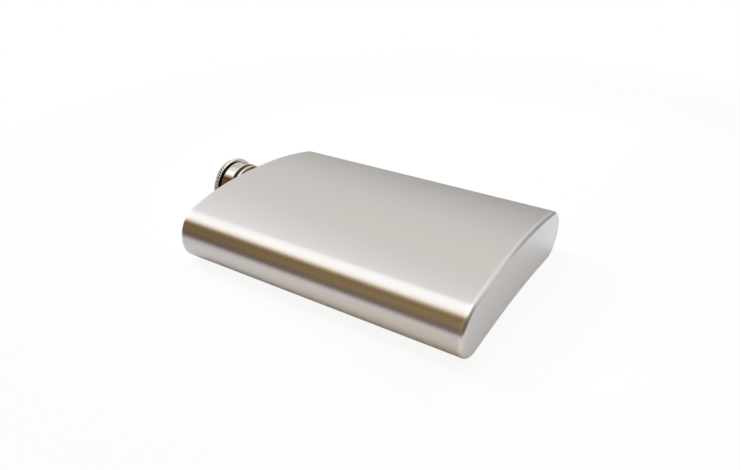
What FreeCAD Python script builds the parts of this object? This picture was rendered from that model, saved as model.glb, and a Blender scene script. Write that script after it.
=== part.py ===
import FreeCAD, Part
import math
import os

import Sketcher
from FreeCAD import Placement, Rotation, Vector

# Hip flask in sheet steel, lying on its hollow back.
# Row frame: +X runs from the cap to the base plate, +Y across the flask, +Z up.
# The origin is on the floor, under the middle of the whole length.
# Every sub-part is drawn in a frame turned half round about Z, so that its own +X
# points from the base plate towards the cap and all its sizes count upwards.

doc = FreeCAD.newDocument("HipFlask")

# ---------------------------------------------------------------- sizes

SIZES = [
    # Kidney section of the body
    ("body_width", 94.0, "flask from side to side"),
    ("side_radius", 10.7, "rounded long sides"),
    ("front_radius", 211.0, "bulging front face"),
    ("back_radius", 363.0, "hollow back face"),
    ("wrap_wall", 0.5, "sheet of the body wrap"),
    # Shoulder end
    ("shoulder_height", 128.2, "base plate to the flat of the shoulder"),
    ("shoulder_flat", 14.0, "half width of the flat that the neck stands on"),
    ("shoulder_radius", 168.0, "arcs that fall from the flat to the sides"),
    ("shoulder_rim", 1.0, "rounded edge of the shoulder plate"),
    ("shoulder_lip", 0.4, "straight land between that edge and the seam"),
    # Base end
    ("base_rim", 1.6, "rounded edge of the base plate"),
    ("base_lip", 0.4, "straight land between that edge and the seam"),
    ("plate_wall", 0.6, "sheet of both end plates"),
    # Neck
    ("neck_rise", 3.7, "neck axis over the middle of the round sides"),
    ("neck_bore", 6.6, "radius of the mouth"),
    ("neck_wall", 1.2, "wall of the neck under its thread"),
    ("neck_flange", 0.8, "thickness of the flange under the shoulder plate"),
    ("flange_width", 0.8, "flange past the neck's outside"),
    ("flange_bevel", 0.2, "bevel that clears the plate's inner corner"),
    ("neck_height", 6.0, "mouth over the shoulder"),
    ("mouth_round", 0.4, "rounding of the drinking edge"),
    ("collar_width", 1.45, "foot of the collar past the neck"),
    ("collar_height", 1.1, "height of that foot"),
    ("ring_width", 1.6, "ring of the collar past its foot"),
    ("ring_height", 1.2, "thickness of the ring"),
    ("ring_chamfer", 0.25, "bevels of the ring"),
    # Thread
    ("thread_pitch", 1.8, "rise in one turn"),
    ("thread_depth", 0.6, "ridge over its root"),
    ("thread_base", 0.9, "ridge width at the root"),
    ("thread_crest", 0.45, "ridge width at the top"),
    ("thread_land", 0.05, "plain ring past each end of a thread"),
    ("thread_gap", 0.15, "radial clearance between the two threads"),
    # Cap
    ("liner_wall", 2.0, "plastic between the thread and the barrel"),
    ("barrel_wall", 0.6, "sheet of the polished barrel"),
    ("barrel_round", 0.3, "rounding of the barrel's edges"),
    ("skirt_gap", 0.15, "liner over the collar's ring"),
    ("skirt_height", 1.5, "dark skirt of the liner under the barrel"),
    ("liner_top", 1.6, "thickness of the liner's closed end"),
    ("seal_height", 0.8, "thickness of the sealing washer"),
    ("seal_lap", 1.6, "washer inside the mouth's edge"),
    ("groove_width", 0.9, "dark groove between barrel and disc"),
    ("groove_depth", 1.4, "depth of the groove from the barrel's face"),
    ("disc_overhang", 1.3, "knurled disc past the barrel"),
    ("disc_height", 2.1, "thickness of the disc"),
    ("disc_chamfer", 0.35, "bevels of the disc"),
    ("knurl_count", 60, "grooves round the disc"),
    ("knurl_depth", 0.35, "depth of one groove"),
    ("knurl_width", 1.0, "width of one groove at the rim"),
    ("rivet_radius", 2.0, "shank of the rivet"),
    ("rivet_head_radius", 3.5, "head in the disc's outer face"),
    ("rivet_head", 0.8, "thickness of the head"),
    ("rivet_tail_radius", 2.9, "clenched tail inside the barrel"),
    ("rivet_tail", 0.5, "thickness of the tail"),
    # Clearances
    ("fit_gap", 0.05, "clearance between pieces pushed into each other"),
    ("seal_gap", 0.1, "clearance round the loose washer"),
]

sheet = doc.addObject("Spreadsheet::Sheet", "Sizes")
for row, (alias, value, note) in enumerate(SIZES, start=1):
    sheet.set("A%d" % row, alias)
    sheet.set("B%d" % row, str(value))
    sheet.set("C%d" % row, note)
    sheet.setAlias("B%d" % row, alias)
doc.recompute()


def size(expression):
    """An expression over the sheet's names, as FreeCAD writes it."""
    words = []
    for word in expression.split():
        words.append("Sizes." + word if word[0].isalpha() else word)
    return " ".join(words)


def number(expression):
    """The same expression, worked out in millimetres."""
    return float(sheet.evalExpression(size(expression)))


# Places along the flask, counted from the outer face of the base plate
BASE_SEAM = "base_rim + base_lip"
SHOULDER_SEAM = "shoulder_rim + shoulder_lip"
BEYOND = "shoulder_height + plate_wall"
SHOULDER_BLOCK = "body_width / 4"  # deeper than the shoulder line falls

# Height of the neck's axis over the floor
NECK_LEVEL = "side_radius + neck_rise"

# Radii about that axis, each from the one inside it
NECK_ROOT = "neck_bore + neck_wall"
FLANGE_RADIUS = NECK_ROOT + " + flange_width"
NECK_HOLE = NECK_ROOT + " + fit_gap"
COLLAR_RADIUS = NECK_HOLE + " + collar_width"
RING_RADIUS = COLLAR_RADIUS + " + ring_width"
THREAD_CREST = NECK_ROOT + " + thread_depth"
LINER_BORE = THREAD_CREST + " + thread_gap"
LINER_RADIUS = LINER_BORE + " + liner_wall"
BARREL_BORE = LINER_RADIUS + " + fit_gap"
BARREL_RADIUS = BARREL_BORE + " + barrel_wall"
SPACER_RADIUS = BARREL_RADIUS + " - groove_depth"
DISC_RADIUS = BARREL_RADIUS + " + disc_overhang"
RIVET_HOLE = "rivet_radius + fit_gap"

# Places along the neck, counted outwards from the flat of the shoulder
RING_TOP = "collar_height + ring_height"
THREAD_START = RING_TOP + " + thread_land + thread_base / 2"
THREAD_END = "neck_height - mouth_round - thread_land - thread_base / 2"
LINER_START = RING_TOP + " + skirt_gap"
BARREL_START = LINER_START + " + skirt_height"
SEAL_START = "neck_height + seal_gap"
LINER_THREAD_START = THREAD_START + " + thread_pitch / 2"
LINER_THREAD_END = SEAL_START + " - thread_land - thread_base / 2"
LINER_CEILING = SEAL_START + " + seal_height + seal_gap"
LINER_END = LINER_CEILING + " + liner_top"
BARREL_INSIDE = LINER_END + " + fit_gap"
BARREL_END = BARREL_INSIDE + " + barrel_wall"
DISC_START = BARREL_END + " + groove_width"
CAP_HEIGHT = DISC_START + " + disc_height"

# ---------------------------------------------------------------- drawing helpers

# The sketcher's own numbers for the points of an edge and for its two axes
START, END, CENTRE = range(1, 4)
H_AXIS, V_AXIS = range(-1, -3, -1)
ORIGIN = (H_AXIS, START)

# Two places nearer than this are the same place
SAME = 1e-4


def new_body(label):
    body = doc.addObject("PartDesign::Body", label)
    body.Label = label
    return body


def new_sketch(body, name, role, offset=None):
    """A sketch on one of the body's own planes, moved along the normal if asked."""
    sketch = body.newObject("Sketcher::SketchObject", name)
    plane = [item for item in body.Origin.OriginFeatures if item.Role == role][0]
    sketch.AttachmentSupport = (plane, "")
    sketch.MapMode = "FlatFace"
    if offset:
        sketch.setExpression("AttachmentOffset.Base.z", size(offset))
    return sketch


def fix(sketch, kind, *places_and_value):
    """Add one dimension, driven by an expression over the sheet."""
    places = places_and_value[:-1]
    expression = places_and_value[-1]
    index = sketch.addConstraint(Sketcher.Constraint(kind, *places, number(expression)))
    sketch.setExpression("Constraints[%d]" % index, size(expression))


def fix_point(sketch, edge, end, across, upward):
    """Hold a point at (across, upward); None means that it lies on that axis."""
    if across is None:
        sketch.addConstraint(Sketcher.Constraint("PointOnObject", edge, end, V_AXIS))
    else:
        fix(sketch, "DistanceX", *ORIGIN, edge, end, across)
    if upward is None:
        sketch.addConstraint(Sketcher.Constraint("PointOnObject", edge, end, H_AXIS))
    else:
        fix(sketch, "DistanceY", *ORIGIN, edge, end, upward)


def draw_polygon(sketch, corners):
    """A closed outline of straight lines through corners given as expressions."""
    points = [Vector(number(u) if u else 0, number(v) if v else 0, 0) for u, v in corners]
    count = len(points)
    for i in range(count):
        sketch.addGeometry(Part.LineSegment(points[i], points[(i + 1) % count]), False)
    for i in range(count):
        sketch.addConstraint(Sketcher.Constraint("Coincident", i, END, (i + 1) % count, START))
    for i, (u, v) in enumerate(corners):
        fix_point(sketch, i, START, u, v)


def turned(label, corners):
    """A body turned about its own X axis from an outline of (along, radius) corners."""
    body = new_body(label)
    sketch = new_sketch(body, label + "_outline", "XZ_Plane")
    draw_polygon(sketch, corners)
    revolution = body.newObject("PartDesign::Revolution", label + "_turning")
    revolution.Profile = sketch
    revolution.ReferenceAxis = (sketch, ["H_Axis"])
    revolution.Angle = 360.0
    doc.recompute()
    return body


def edges_where(feature, test):
    """Names of the feature's edges that pass the test."""
    edges = enumerate(feature.Shape.Edges, start=1)
    return ["Edge%d" % i for i, edge in edges if test(edge)]


def ring_at(along, radius):
    """A test for the circular edge at a place along the X axis, or at its start."""
    x = number(along) if along else 0
    r = number(radius)

    def test(edge):
        if not isinstance(edge.Curve, Part.Circle):
            return False
        return abs(edge.Curve.Center.x - x) < SAME and abs(edge.Curve.Radius - r) < SAME

    return test


def dress(body, kind, name, test, property_name, expression):
    """Round or bevel the edges of the body's last feature that pass the test."""
    last = body.Tip
    feature = body.newObject("PartDesign::" + kind, name)
    feature.Base = (last, edges_where(last, test))
    feature.setExpression(property_name, size(expression))
    doc.recompute()
    return feature


def place(part, along, level=None):
    """Set a sub-part in the row frame: along counts from the base plate's face."""
    half = "( shoulder_height + " + CAP_HEIGHT + " ) / 2"
    base_x = half + " - ( " + along + " )" if along else half
    height = number(level) if level else 0
    turn = Rotation(Vector(0, 0, 1), 180)
    part.Placement = Placement(Vector(number(base_x), 0, height), turn)
    part.setExpression("Placement.Base.x", size(base_x))
    if level:
        part.setExpression("Placement.Base.z", size(level))


def place_on_neck(part, along="shoulder_height"):
    place(part, along, NECK_LEVEL)


# ---------------------------------------------------------------- body section and shoulder line


def draw_section(body, name, inset, offset):
    """Kidney section: a bulging front arc, a hollow back arc and two round sides."""
    sketch = new_sketch(body, name, "YZ_Plane", offset)
    side_radius = "side_radius - " + inset if inset else "side_radius"
    front_radius = "front_radius - " + inset if inset else "front_radius"
    back_radius = "back_radius + " + inset if inset else "back_radius"
    side_y = "body_width / 2 - side_radius"

    side = number(side_radius)
    y = number(side_y)
    z = number("side_radius")
    to_front = number("front_radius - side_radius")
    to_back = number("back_radius + side_radius")
    front_z = z - math.sqrt(to_front ** 2 - y ** 2)
    back_z = z - math.sqrt(to_back ** 2 - y ** 2)
    front_angle = math.atan2(z - front_z, y)
    back_angle = math.atan2(z - back_z, y)
    axis = Vector(0, 0, 1)

    def arc(centre_y, centre_z, radius, first, last):
        circle = Part.Circle(Vector(centre_y, centre_z, 0), axis, radius)
        return sketch.addGeometry(Part.ArcOfCircle(circle, first, last), False)

    front = arc(0, front_z, number(front_radius), front_angle, math.pi - front_angle)
    left = arc(-y, z, side, math.pi - front_angle, 2 * math.pi - back_angle)
    back = arc(0, back_z, number(back_radius), back_angle, math.pi - back_angle)
    right = arc(y, z, side, math.pi + back_angle, 2 * math.pi + front_angle)

    joints = [(front, END, left, START), (left, END, back, END),
              (back, START, right, START), (right, END, front, START)]
    for joint in joints:
        sketch.addConstraint(Sketcher.Constraint("Tangent", *joint))
    fix(sketch, "Radius", right, side_radius)
    fix(sketch, "Radius", front, front_radius)
    fix(sketch, "Radius", back, back_radius)
    sketch.addConstraint(Sketcher.Constraint("Equal", right, left))
    fix_point(sketch, right, CENTRE, side_y, "side_radius")
    sketch.addConstraint(Sketcher.Constraint("Symmetric", left, CENTRE, right, CENTRE, V_AXIS))
    return sketch


def draw_shoulder(body, name, depth, far_side):
    """The shoulder line, depth inside the outer one, closed by a box at far_side."""
    sketch = new_sketch(body, name, "XY_Plane")
    flat_x = "shoulder_height - " + "( " + depth + " )" if depth else "shoulder_height"
    radius = "shoulder_radius - " + "( " + depth + " )" if depth else "shoulder_radius"
    side_y = "body_width / 2 + plate_wall"

    x = number(flat_x)
    flat = number("shoulder_flat")
    r = number(radius)
    side = number(side_y)
    far_x = number(far_side) if far_side else 0
    turn = math.asin((side - flat) / r)
    end_x = x - r * (1 - math.cos(turn))
    axis = Vector(0, 0, 1)

    def line(first, last):
        return sketch.addGeometry(Part.LineSegment(Vector(*first, 0), Vector(*last, 0)), False)

    def arc(centre_y, first, last):
        circle = Part.Circle(Vector(x - r, centre_y, 0), axis, r)
        return sketch.addGeometry(Part.ArcOfCircle(circle, first, last), False)

    seat = line((x, -flat), (x, flat))
    left = arc(flat, 0, turn)
    left_end = line((end_x, side), (far_x, side))
    back = line((far_x, side), (far_x, -side))
    right_end = line((far_x, -side), (end_x, -side))
    right = arc(-flat, -turn, 0)

    sketch.addConstraint(Sketcher.Constraint("Tangent", seat, END, left, START))
    sketch.addConstraint(Sketcher.Constraint("Coincident", left, END, left_end, START))
    sketch.addConstraint(Sketcher.Constraint("Coincident", left_end, END, back, START))
    sketch.addConstraint(Sketcher.Constraint("Coincident", back, END, right_end, START))
    sketch.addConstraint(Sketcher.Constraint("Coincident", right_end, END, right, START))
    sketch.addConstraint(Sketcher.Constraint("Tangent", right, END, seat, START))
    sketch.addConstraint(Sketcher.Constraint("Symmetric", seat, START, seat, END, H_AXIS))
    sketch.addConstraint(Sketcher.Constraint("Symmetric", left, END, right, START, H_AXIS))
    sketch.addConstraint(Sketcher.Constraint("Symmetric", back, START, back, END, H_AXIS))
    sketch.addConstraint(Sketcher.Constraint("Horizontal", left_end))
    fix(sketch, "Radius", left, radius)
    fix_point(sketch, seat, END, flat_x, "shoulder_flat")
    if far_side:
        fix(sketch, "DistanceX", *ORIGIN, back, START, far_side)
        fix(sketch, "DistanceY", *ORIGIN, back, START, side_y)
    else:
        fix_point(sketch, back, START, None, side_y)
    return sketch


def pad(body, name, sketch, length):
    feature = body.newObject("PartDesign::Pad", name)
    feature.Profile = sketch
    feature.setExpression("Length", size(length))
    doc.recompute()
    return feature


def cut_through(body, name, sketch):
    """Cut a sketch right through the body, both ways along its normal."""
    before = body.Shape.Volume
    feature = body.newObject("PartDesign::Pocket", name)
    feature.Profile = sketch
    feature.SideType = "Symmetric"
    feature.Type = "ThroughAll"
    doc.recompute()
    if body.Shape.Volume >= before:
        raise RuntimeError(name + " cuts nothing")
    return feature


def hollow(body, name, open_face_x):
    """Turn the body into sheet, plate_wall thick, open at the flat face there."""
    last = body.Tip
    faces = enumerate(last.Shape.Faces, start=1)
    flat = ["Face%d" % i for i, face in faces
            if isinstance(face.Surface, Part.Plane)
            and abs(face.CenterOfMass.x - open_face_x) < SAME]
    feature = body.newObject("PartDesign::Thickness", name)
    feature.Base = (last, flat)
    feature.Reversed = True
    feature.setExpression("Value", size("plate_wall"))
    doc.recompute()
    return feature


# ---------------------------------------------------------------- body


def body_wrap():
    """One sheet bent into a tube of kidney section, cut to the shoulder line."""
    body = new_body("body_wrap")
    outline = draw_section(body, "wrap_outside", None, BASE_SEAM)
    pad(body, "wrap_tube", outline, BEYOND)
    cut_through(body, "wrap_hollow", draw_section(body, "wrap_inside", "wrap_wall", BASE_SEAM))
    top = draw_shoulder(body, "wrap_top_line", SHOULDER_SEAM, BEYOND + " + " + BASE_SEAM)
    cut_through(body, "wrap_top", top)
    place(body, None)
    return body


def base_plate():
    """Pressed tray with a rounded edge, welded to the wrap at the base seam."""
    body = new_body("base_plate")
    outline = draw_section(body, "base_outside", None, None)
    pad(body, "base_block", outline, BASE_SEAM)
    dress(body, "Fillet", "base_edge", lambda edge: edge.BoundBox.XMax < SAME, "Radius", "base_rim")
    hollow(body, "base_sheet", number(BASE_SEAM))
    place(body, None)
    return body


def shoulder_plate():
    """Pressed tray that follows the shoulder line, with the hole for the neck."""
    body = new_body("shoulder_plate")
    start = "shoulder_height - " + SHOULDER_BLOCK
    outline = draw_section(body, "shoulder_outside", None, start)
    pad(body, "shoulder_block", outline, SHOULDER_BLOCK + " + plate_wall")
    line = draw_shoulder(body, "shoulder_line", None, BEYOND + " + plate_wall")
    cut_through(body, "shoulder_shape", line)
    dress(body, "Fillet", "shoulder_edge", shoulder_edge, "Radius", "shoulder_rim")
    hollow(body, "shoulder_sheet", number(start))
    seam = draw_shoulder(body, "shoulder_seam_line", SHOULDER_SEAM, None)
    cut_through(body, "shoulder_seam", seam)
    hole = new_sketch(body, "neck_hole_circle", "YZ_Plane")
    hole.addGeometry(Part.Circle(Vector(0, number(NECK_LEVEL), 0), Vector(0, 0, 1),
                                 number(NECK_HOLE)), False)
    fix(hole, "Radius", 0, NECK_HOLE)
    fix_point(hole, 0, CENTRE, None, NECK_LEVEL)
    cut_through(body, "neck_hole", hole)
    place(body, None)
    return body


def shoulder_edge(edge):
    """True for the edges where the shoulder's end faces meet its sides."""
    vertex = edge.Vertexes[0].Point
    middle = edge.valueAt((edge.FirstParameter + edge.LastParameter) / 2)
    return all(on_shoulder(point) for point in (vertex, middle))


def on_shoulder(point):
    """True where a point lies on the shoulder line, seen from above."""
    flat = number("shoulder_flat")
    radius = number("shoulder_radius")
    over = max(abs(point.y) - flat, 0)
    x = number("shoulder_height") - radius + math.sqrt(radius ** 2 - over ** 2)
    return abs(point.x - x) < SAME


# ---------------------------------------------------------------- neck


def add_thread(body, name, start, root, crest, turns):
    """Wind one ridge about the body's X axis from an outline of its section."""
    sketch = new_sketch(body, name + "_ridge", "XZ_Plane")
    half_base = "thread_base / 2"
    half_crest = "thread_crest / 2"
    corners = [(start + " - " + half_base, root), (start + " + " + half_base, root),
               (start + " + " + half_crest, crest), (start + " - " + half_crest, crest)]
    draw_polygon(sketch, corners)
    doc.recompute()
    helix = body.newObject("PartDesign::AdditiveHelix", name)
    helix.Profile = sketch
    helix.ReferenceAxis = (sketch, ["H_Axis"])
    helix.Mode = "pitch-turns-angle"
    helix.setExpression("Pitch", size("thread_pitch"))
    helix.setExpression("Turns", size(turns))
    doc.recompute()
    return helix


def neck():
    """Threaded spout with its flange under the shoulder plate."""
    shoulder = "neck_flange + plate_wall"
    mouth = shoulder + " + neck_height"
    body = turned("neck", [
        (None, "neck_bore"), (None, FLANGE_RADIUS),
        ("neck_flange", FLANGE_RADIUS), ("neck_flange", NECK_ROOT),
        (mouth, NECK_ROOT), (mouth, "neck_bore")])
    outer_edge = ring_at(mouth, NECK_ROOT)
    inner_edge = ring_at(mouth, "neck_bore")
    dress(body, "Fillet", "drinking_edge", lambda edge: outer_edge(edge) or inner_edge(edge),
          "Radius", "mouth_round")
    dress(body, "Chamfer", "flange_edge", ring_at("neck_flange", FLANGE_RADIUS),
          "Size", "flange_bevel")
    turns = "( " + THREAD_END + " - ( " + THREAD_START + " ) ) / thread_pitch"
    add_thread(body, "neck_thread", shoulder + " + " + THREAD_START,
               NECK_ROOT + " - thread_gap", THREAD_CREST, turns)
    place_on_neck(body, "shoulder_height - " + "( " + shoulder + " )")
    return body


def neck_collar():
    """Turned collar at the foot of the neck: a foot on the shoulder and a wider ring."""
    body = turned("neck_collar", [
        (None, NECK_HOLE), (None, COLLAR_RADIUS), ("collar_height", COLLAR_RADIUS),
        ("collar_height", RING_RADIUS), (RING_TOP, RING_RADIUS), (RING_TOP, NECK_HOLE)])
    low = ring_at("collar_height", RING_RADIUS)
    high = ring_at(RING_TOP, RING_RADIUS)
    dress(body, "Chamfer", "ring_bevels", lambda edge: low(edge) or high(edge),
          "Size", "ring_chamfer")
    place_on_neck(body)
    return body


# ---------------------------------------------------------------- cap


def cap_barrel():
    """Polished cup of the cap, pressed over the liner."""
    body = turned("cap_barrel", [
        (BARREL_START, BARREL_BORE), (BARREL_START, BARREL_RADIUS),
        (BARREL_END, BARREL_RADIUS), (BARREL_END, RIVET_HOLE),
        (BARREL_INSIDE, RIVET_HOLE), (BARREL_INSIDE, BARREL_BORE)])
    low = ring_at(BARREL_START, BARREL_RADIUS)
    high = ring_at(BARREL_END, BARREL_RADIUS)
    dress(body, "Fillet", "barrel_edges", lambda edge: low(edge) or high(edge),
          "Radius", "barrel_round")
    place_on_neck(body)
    return body


def cap_liner():
    """Plastic insert in the barrel; it carries the cap's thread and shows under the barrel."""
    pocket_radius = "rivet_tail_radius + seal_gap"
    pocket_floor = LINER_END + " - rivet_tail - seal_gap"
    body = turned("cap_liner", [
        (LINER_START, LINER_BORE), (LINER_START, LINER_RADIUS), (LINER_END, LINER_RADIUS),
        (LINER_END, pocket_radius), (pocket_floor, pocket_radius), (pocket_floor, None),
        (LINER_CEILING, None), (LINER_CEILING, LINER_BORE)])
    turns = "( " + LINER_THREAD_END + " - ( " + LINER_THREAD_START + " ) ) / thread_pitch"
    add_thread(body, "liner_thread", LINER_THREAD_START, LINER_BORE + " + thread_gap",
               NECK_ROOT + " + thread_gap", turns)
    place_on_neck(body)
    return body


def cap_seal():
    """Loose soft washer between the mouth and the liner's closed end."""
    bore = "neck_bore - seal_lap"
    outside = LINER_BORE + " - seal_gap"
    body = turned("cap_seal", [
        (None, bore), (None, outside), ("seal_height", outside), ("seal_height", bore)])
    place_on_neck(body, "shoulder_height + " + SEAL_START)
    return body


def cap_spacer():
    """Dark washer that makes the groove between barrel and disc."""
    body = turned("cap_spacer", [
        (None, RIVET_HOLE), (None, SPACER_RADIUS),
        ("groove_width", SPACER_RADIUS), ("groove_width", RIVET_HOLE)])
    place_on_neck(body, "shoulder_height + " + BARREL_END)
    return body


def cap_disc():
    """Coin-shaped grip with straight grooves cut round its edge."""
    seat = "disc_height - rivet_head"
    recess = "rivet_head_radius + fit_gap"
    body = turned("cap_disc", [
        (None, RIVET_HOLE), (None, DISC_RADIUS), ("disc_height", DISC_RADIUS),
        ("disc_height", recess), (seat, recess), (seat, RIVET_HOLE)])
    near = ring_at(None, DISC_RADIUS)
    far = ring_at("disc_height", DISC_RADIUS)
    dress(body, "Chamfer", "disc_bevels", lambda edge: near(edge) or far(edge),
          "Size", "disc_chamfer")
    groove = new_sketch(body, "knurl_groove_outline", "YZ_Plane")
    wide = "knurl_width / 2 * ( knurl_depth + fit_gap ) / knurl_depth"
    outside = DISC_RADIUS + " + fit_gap"
    root = DISC_RADIUS + " - knurl_depth"
    points = [Vector(0, number(root), 0),
              Vector(number(wide), number(outside), 0),
              Vector(-number(wide), number(outside), 0)]
    for i in range(3):
        groove.addGeometry(Part.LineSegment(points[i], points[(i + 1) % 3]), False)
    for i in range(3):
        groove.addConstraint(Sketcher.Constraint("Coincident", i, END, (i + 1) % 3, START))
    fix_point(groove, 0, START, None, root)
    fix_point(groove, 1, START, wide, outside)
    groove.addConstraint(Sketcher.Constraint("Symmetric", 1, START, 2, START, V_AXIS))
    pocket = cut_through(body, "knurl_groove", groove)
    knurl = body.newObject("PartDesign::PolarPattern", "knurl")
    knurl.Originals = [pocket]
    knurl.Axis = (groove, ["N_Axis"])
    knurl.Angle = 360.0
    knurl.setExpression("Occurrences", size("knurl_count"))
    body.Tip = knurl
    doc.recompute()
    place_on_neck(body, "shoulder_height + " + DISC_START)
    return body


def cap_rivet():
    """Rivet that holds disc, spacer and barrel together."""
    grip_end = "rivet_tail + barrel_wall + groove_width + disc_height - rivet_head"
    top = grip_end + " + rivet_head"
    body = turned("cap_rivet", [
        (None, None), (None, "rivet_tail_radius"),
        ("rivet_tail", "rivet_tail_radius"), ("rivet_tail", "rivet_radius"),
        (grip_end, "rivet_radius"), (grip_end, "rivet_head_radius"),
        (top, "rivet_head_radius"), (top, None)])
    place_on_neck(body, "shoulder_height + " + BARREL_INSIDE + " - rivet_tail")
    return body


# ---------------------------------------------------------------- build, check and write

parts = [body_wrap(), base_plate(), shoulder_plate(), neck(), neck_collar(), cap_barrel(),
         cap_liner(), cap_seal(), cap_spacer(), cap_disc(), cap_rivet()]
doc.recompute()

for item in doc.Objects:
    if "Invalid" in item.State or "Error" in item.State:
        raise RuntimeError(item.Label + " failed: " + ", ".join(item.State))
for part in parts:
    if part.Shape.isNull() or not part.Shape.isValid():
        raise RuntimeError(part.Label + " has no valid shape")

os.makedirs("parts", exist_ok=True)
for part in parts:
    part.Shape.exportStep("parts/" + part.Label + ".step")
    box = part.Shape.BoundBox
    print("%-16s %d solid, %9.1f mm3, x %7.2f..%7.2f, y %6.2f..%6.2f, z %5.2f..%5.2f" % (
        part.Label, len(part.Shape.Solids), part.Shape.Volume,
        box.XMin, box.XMax, box.YMin, box.YMax, box.ZMin, box.ZMax))
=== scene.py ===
"""Hip flask in brushed sheet steel, lying on its hollow back on a pale table."""

import math

import bmesh
import bpy
from mathutils import Matrix, Vector


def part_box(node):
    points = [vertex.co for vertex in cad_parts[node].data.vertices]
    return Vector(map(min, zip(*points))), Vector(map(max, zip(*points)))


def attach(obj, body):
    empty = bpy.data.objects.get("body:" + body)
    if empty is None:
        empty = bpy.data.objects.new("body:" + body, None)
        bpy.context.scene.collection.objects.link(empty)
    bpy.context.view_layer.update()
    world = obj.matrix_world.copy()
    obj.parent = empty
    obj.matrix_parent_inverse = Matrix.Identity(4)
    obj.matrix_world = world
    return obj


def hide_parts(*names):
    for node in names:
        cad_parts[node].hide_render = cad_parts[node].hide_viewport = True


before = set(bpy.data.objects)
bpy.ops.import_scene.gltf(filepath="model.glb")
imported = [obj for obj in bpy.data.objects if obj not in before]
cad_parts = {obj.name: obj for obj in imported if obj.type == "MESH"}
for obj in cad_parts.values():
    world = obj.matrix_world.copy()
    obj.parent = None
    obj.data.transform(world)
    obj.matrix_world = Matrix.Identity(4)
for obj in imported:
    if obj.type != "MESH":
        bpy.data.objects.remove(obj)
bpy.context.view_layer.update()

# ---------------------------------------------------------------- sizes, in metres

MM = 0.001

# Kidney section of the body, the walls of its sheets, and the depth of the neck hole's cutter
SIDE_RADIUS = 10.7 * MM
FRONT_RADIUS = 211 * MM
BACK_RADIUS = 363 * MM
WRAP_WALL = 0.5 * MM
PLATE_WALL = 0.6 * MM
CUTTER_DEPTH = 6 * PLATE_WALL

# End plates: their rounded edges, and the shoulder's flat and the curve that it falls off by
BASE_RIM = 1.6 * MM
SHOULDER_RIM = 1.0 * MM
SHOULDER_FLAT = 14 * MM
SHOULDER_RADIUS = 168 * MM

# Worn band along the sheets' edges, and the fine break where two sheets meet
WORN_WIDTH = 1.4 * MM
SEAM_BREAK = 0.012 * MM

# Turned pieces: how far from an edge its wear reaches, and how much an edge turns to be worn
WEAR_REACH = 0.3 * MM
WEAR_ANGLE = math.radians(12)

# Neck, with its flange inside the body, its thread and its collar
NECK_ROOT = 7.8 * MM
NECK_WALL = 1.2 * MM
FLANGE_WALL = 0.8 * MM
FLANGE_WIDTH = 0.8 * MM
FLANGE_BEVEL = 0.2 * MM
MOUTH_ROUND = 0.4 * MM
THREAD_PITCH = 1.8 * MM
THREAD_DEPTH = 0.6 * MM
THREAD_BASE = 0.9 * MM
THREAD_CREST = 0.45 * MM
THREAD_START = 2.8 * MM
THREAD_SINK = 0.15 * MM
THREAD_TURNS = 1.25
FOOT_RADIUS = 9.3 * MM
FOOT_HEIGHT = 1.1 * MM
RING_ROUND = 0.25 * MM

# Cap: the gap that its pieces fit with, its cup and its rivet
FIT_GAP = 0.05 * MM
BARREL_WALL = 0.6 * MM
BARREL_ROUND = 0.3 * MM
RIVET_RADIUS = 2.0 * MM
RIVET_TAIL_RADIUS = 2.9 * MM
RIVET_TAIL = 0.5 * MM
RIVET_HEAD = 0.8 * MM
RIVET_DOME = 0.15 * MM

# Knurled disc: grooves each way round it, their depth and their pitch along the axis. A flank
# rises to the diamond's tip over 1 / KNURL_LAND of the way to the middle between two grooves.
KNURL_COUNT = 60
KNURL_DEPTH = 0.35 * MM
KNURL_PITCH = 1.4 * MM
KNURL_LAND = 1.6
KNURL_CROWN = 0.12 * MM
DISC_CHAMFER = 0.35 * MM

# Places read from the frame
BASE_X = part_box("base_plate")[1].x
BASE_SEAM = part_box("base_plate")[0].x
SHOULDER_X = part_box("shoulder_plate")[0].x
SHOULDER_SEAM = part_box("body_wrap")[0].x
HALF_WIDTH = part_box("body_wrap")[1].y
COLLAR_LOW, COLLAR_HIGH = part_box("neck_collar")
AXIS_Z = (COLLAR_LOW.z + COLLAR_HIGH.z) / 2
NECK_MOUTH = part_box("neck")[0].x
CUP_LOW, CUP_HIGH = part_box("cap_barrel")
DISC_LOW, DISC_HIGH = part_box("cap_disc")
WASHER_LOW, WASHER_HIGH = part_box("cap_spacer")
RIVET_LOW, RIVET_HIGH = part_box("cap_rivet")


def reach(low, high):
    """Radius of a turned piece about the neck's axis."""
    return (high.y - low.y) / 2


# ---------------------------------------------------------------- shapes

# Facets of the section's arcs, of the plates' edges, of a full turn, of the rivet, of a turn
# of the thread, of the mouth and other rounded edges, and of one groove of the knurl
SIDE_STEPS = 20
FACE_STEPS = 40
RIM_STEPS = 8
TURN_STEPS = 128
RIVET_STEPS = 64
THREAD_STEPS = 48
MOUTH_STEPS = 5
EDGE_STEPS = 6
KNURL_SAMPLES = 8

# An edge that turns more than SHARP is drawn sharp, vertices nearer than SAME_PLACE are one,
# and a face whose normal lies along X by more than FLAT_END belongs to a plate's flat end
SHARP = math.radians(35)
SAME_PLACE = 1e-7
FLAT_END = 0.97
UV_PER_METRE = 10


def keep_mesh(name, bm):
    """Make a mesh of a bmesh, which is then freed."""
    mesh = bpy.data.meshes.new(name)
    bm.to_mesh(mesh)
    bm.free()
    return mesh


def link_new(name, data):
    """Add an object to the scene."""
    made = bpy.data.objects.new(name, data)
    bpy.context.scene.collection.objects.link(made)
    return made


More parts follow.
